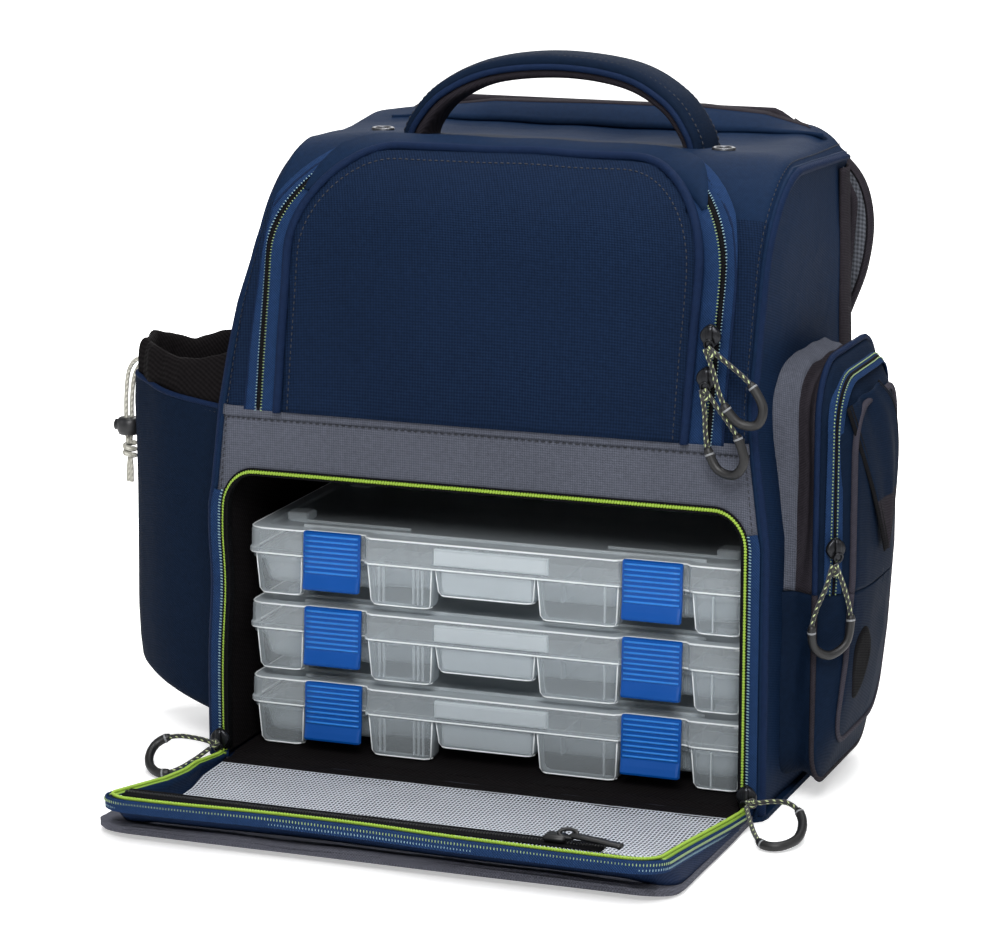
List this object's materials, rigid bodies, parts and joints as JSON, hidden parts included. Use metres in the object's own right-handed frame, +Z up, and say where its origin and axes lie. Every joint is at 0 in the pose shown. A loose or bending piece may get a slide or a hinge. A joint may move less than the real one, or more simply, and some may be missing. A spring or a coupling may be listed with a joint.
{
  "type": "tackle backpack",
  "caption": "Soft-sided fishing backpack with drop-down tray door, sliding clear utility trays, padded front lid, bottle pocket and side organiser.",
  "frame": {"origin": "centre of the bag's base on the ground plane", "axes": "+X to the right when facing the tray door, +Y towards the wearer's back, +Z up"},
  "size_m": [0.4287, 0.3463, 0.3735],
  "materials": {
    "navy": "matte",
    "slate": "matte",
    "charcoal": "matte",
    "black": "matte",
    "lime": "satin",
    "mesh": "matte",
    "clear": "satin",
    "blue": "satin",
    "rubber": "matte",
    "metal": "satin",
    "cord": "matte"
  },
  "bodies": {
    "bag": {"top_wrap": "navy", "gray_band": "slate", "front_strip_left": "navy", "front_strip_right": "navy", "base_panel": "navy", "side_panel_left": "navy", "side_panel_right": "navy", "back_panel": "black", "divider_shelf": "black", "floor_board": "black", "opening_zip": "lime", "lid_zip": "black", "eyelet_left": "metal", "eyelet_right": "metal", "bottle_pocket": "navy", "bottle_collar": "black", "drawcord": "cord", "side_gusset_upper": "slate", "side_gusset_lower": "navy", "side_pocket_front": "navy", "back_pad": "black", "shoulder_strap_left": "charcoal", "shoulder_strap_right": "charcoal", "strap_webbing_left": "black", "strap_webbing_right": "black"},
    "front_lid": {"front_lid": "navy"},
    "tray_door": {"door_panel": "slate", "door_rim": "navy", "door_mesh": "mesh", "mesh_zip": "black"},
    "mesh_slider": {"mesh_slider": "metal"},
    "mesh_puller": {"mesh_puller": "rubber"},
    "side_cover": {"side_cover": "navy", "slip_pouch": "charcoal"},
    "side_slider": {"side_slider": "metal"},
    "side_puller": {"side_puller": "rubber"},
    "lid_slider_upper": {"lid_slider_upper": "metal"},
    "lid_slider_lower": {"lid_slider_lower": "metal"},
    "lid_puller_upper": {"lid_puller_upper": "rubber"},
    "lid_puller_lower": {"lid_puller_lower": "rubber"},
    "door_slider_left": {"door_slider_left": "metal"},
    "door_slider_right": {"door_slider_right": "metal"},
    "door_puller_left": {"door_puller_left": "rubber"},
    "door_puller_right": {"door_puller_right": "rubber"},
    "carry_handle": {"carry_handle": "navy"},
    "cord_lock": {"cord_lock": "rubber"},
    "ladder_lock_left": {"ladder_lock_left": "rubber"},
    "ladder_lock_right": {"ladder_lock_right": "rubber"},
    "tray_1": {"tray_1_base": "clear", "tray_1_lid": "clear"},
    "tray_1_latch_left": {"tray_1_latch_left": "blue"},
    "tray_1_latch_right": {"tray_1_latch_right": "blue"},
    "tray_2": {"tray_2_base": "clear", "tray_2_lid": "clear"},
    "tray_2_latch_left": {"tray_2_latch_left": "blue"},
    "tray_2_latch_right": {"tray_2_latch_right": "blue"},
    "tray_3": {"tray_3_base": "clear", "tray_3_lid": "clear"},
    "tray_3_latch_left": {"tray_3_latch_left": "blue"},
    "tray_3_latch_right": {"tray_3_latch_right": "blue"}
  },
  "joints": [
    {"name": "door_fold", "type": "hinge", "parent": "bag", "child": "tray_door", "pos_m": [0, -0.091, 0.008], "axis": [1, 0, 0], "range_deg": [-82, 0]},
    {"name": "lid_fold", "type": "hinge", "parent": "bag", "child": "front_lid", "pos_m": [0, -0.0982, 0.1906], "axis": [1, 0, 0], "range_deg": [0, 90]},
    {"name": "tray_1_slide", "type": "slide", "parent": "bag", "child": "tray_1", "axis": [0, -1, 0], "range_m": [0, 0.11]},
    {"name": "tray_1_latch_left_flip", "type": "hinge", "parent": "tray_1", "child": "tray_1_latch_left", "pos_m": [-0.087, -0.0712, 0.0406], "axis": [-1, 0, 0], "range_deg": [0, 80]},
    {"name": "tray_1_latch_right_flip", "type": "hinge", "parent": "tray_1", "child": "tray_1_latch_right", "pos_m": [0.087, -0.0712, 0.0406], "axis": [-1, 0, 0], "range_deg": [0, 80]},
    {"name": "tray_2_slide", "type": "slide", "parent": "bag", "child": "tray_2", "axis": [0, -1, 0], "range_m": [0, 0.11]},
    {"name": "tray_2_latch_left_flip", "type": "hinge", "parent": "tray_2", "child": "tray_2_latch_left", "pos_m": [-0.087, -0.0712, 0.081], "axis": [-1, 0, 0], "range_deg": [0, 80]},
    {"name": "tray_2_latch_right_flip", "type": "hinge", "parent": "tray_2", "child": "tray_2_latch_right", "pos_m": [0.087, -0.0712, 0.081], "axis": [-1, 0, 0], "range_deg": [0, 80]},
    {"name": "tray_3_slide", "type": "slide", "parent": "bag", "child": "tray_3", "axis": [0, -1, 0], "range_m": [0, 0.11]},
    {"name": "tray_3_latch_left_flip", "type": "hinge", "parent": "tray_3", "child": "tray_3_latch_left", "pos_m": [-0.087, -0.0712, 0.1214], "axis": [-1, 0, 0], "range_deg": [0, 80]},
    {"name": "tray_3_latch_right_flip", "type": "hinge", "parent": "tray_3", "child": "tray_3_latch_right", "pos_m": [0.087, -0.0712, 0.1214], "axis": [-1, 0, 0], "range_deg": [0, 80]},
    {"name": "lid_slider_upper_run", "type": "slide", "parent": "front_lid", "child": "lid_slider_upper", "axis": [0, 0, 1], "range_m": [0, 0.02]},
    {"name": "lid_slider_lower_run", "type": "slide", "parent": "front_lid", "child": "lid_slider_lower", "axis": [0, 0, -1], "range_m": [0, 0.015]},
    {"name": "lid_puller_upper_swing", "type": "hinge", "parent": "lid_slider_upper", "child": "lid_puller_upper", "pos_m": [0.119, -0.1104, 0.242], "axis": [0, 1, 0], "range_deg": [-40, 38]},
    {"name": "lid_puller_lower_swing", "type": "hinge", "parent": "lid_slider_lower", "child": "lid_puller_lower", "pos_m": [0.118, -0.1052, 0.221], "axis": [0, -1, 0], "range_deg": [-26, 40]},
    {"name": "door_slider_left_run", "type": "slide", "parent": "bag", "child": "door_slider_left", "axis": [0, 0, 1], "range_m": [0, 0.118]},
    {"name": "door_slider_right_run", "type": "slide", "parent": "bag", "child": "door_slider_right", "axis": [0, 0, 1], "range_m": [0, 0.118]},
    {"name": "door_puller_left_swing", "type": "hinge", "parent": "door_slider_left", "child": "door_puller_left", "pos_m": [-0.1489, -0.0926, 0.0145], "axis": [0, 1, 0], "range_deg": [0, 38]},
    {"name": "door_puller_right_swing", "type": "hinge", "parent": "door_slider_right", "child": "door_puller_right", "pos_m": [0.1489, -0.0926, 0.0145], "axis": [0, -1, 0], "range_deg": [0, 38]},
    {"name": "mesh_slider_run", "type": "slide", "parent": "tray_door", "child": "mesh_slider", "axis": [-1, 0, 0], "range_m": [0, 0.2]},
    {"name": "mesh_puller_flip", "type": "hinge", "parent": "mesh_slider", "child": "mesh_puller", "pos_m": [0.098, -0.229, 0.024], "axis": [0, -1, 0], "range_deg": [0, 80]},
    {"name": "side_cover_fold", "type": "hinge", "parent": "bag", "child": "side_cover", "pos_m": [0.1904, 0, 0.1118], "axis": [0, 1, 0], "range_deg": [0, 75]},
    {"name": "side_slider_run", "type": "slide", "parent": "side_cover", "child": "side_slider", "axis": [0, 0, 1], "range_m": [0, 0.05]},
    {"name": "side_puller_swing", "type": "hinge", "parent": "side_slider", "child": "side_puller", "pos_m": [0.1775, -0.067, 0.129], "axis": [-1, 0, 0], "range_deg": [0, 100]},
    {"name": "handle_tilt", "type": "hinge", "parent": "bag", "child": "carry_handle", "pos_m": [0.009, -0.005, 0.3333], "axis": [1, 0, 0], "range_deg": [-30, 30]},
    {"name": "cord_lock_run", "type": "slide", "parent": "bag", "child": "cord_lock", "axis": [0, 0, 1], "range_m": [0, 0.008]},
    {"name": "ladder_lock_left_tilt", "type": "hinge", "parent": "bag", "child": "ladder_lock_left", "pos_m": [-0.093, 0.1005, 0.101], "axis": [1, 0, 0], "range_deg": [-25, 25]},
    {"name": "ladder_lock_right_tilt", "type": "hinge", "parent": "bag", "child": "ladder_lock_right", "pos_m": [0.093, 0.1005, 0.101], "axis": [1, 0, 0], "range_deg": [-25, 25]}
  ]
}
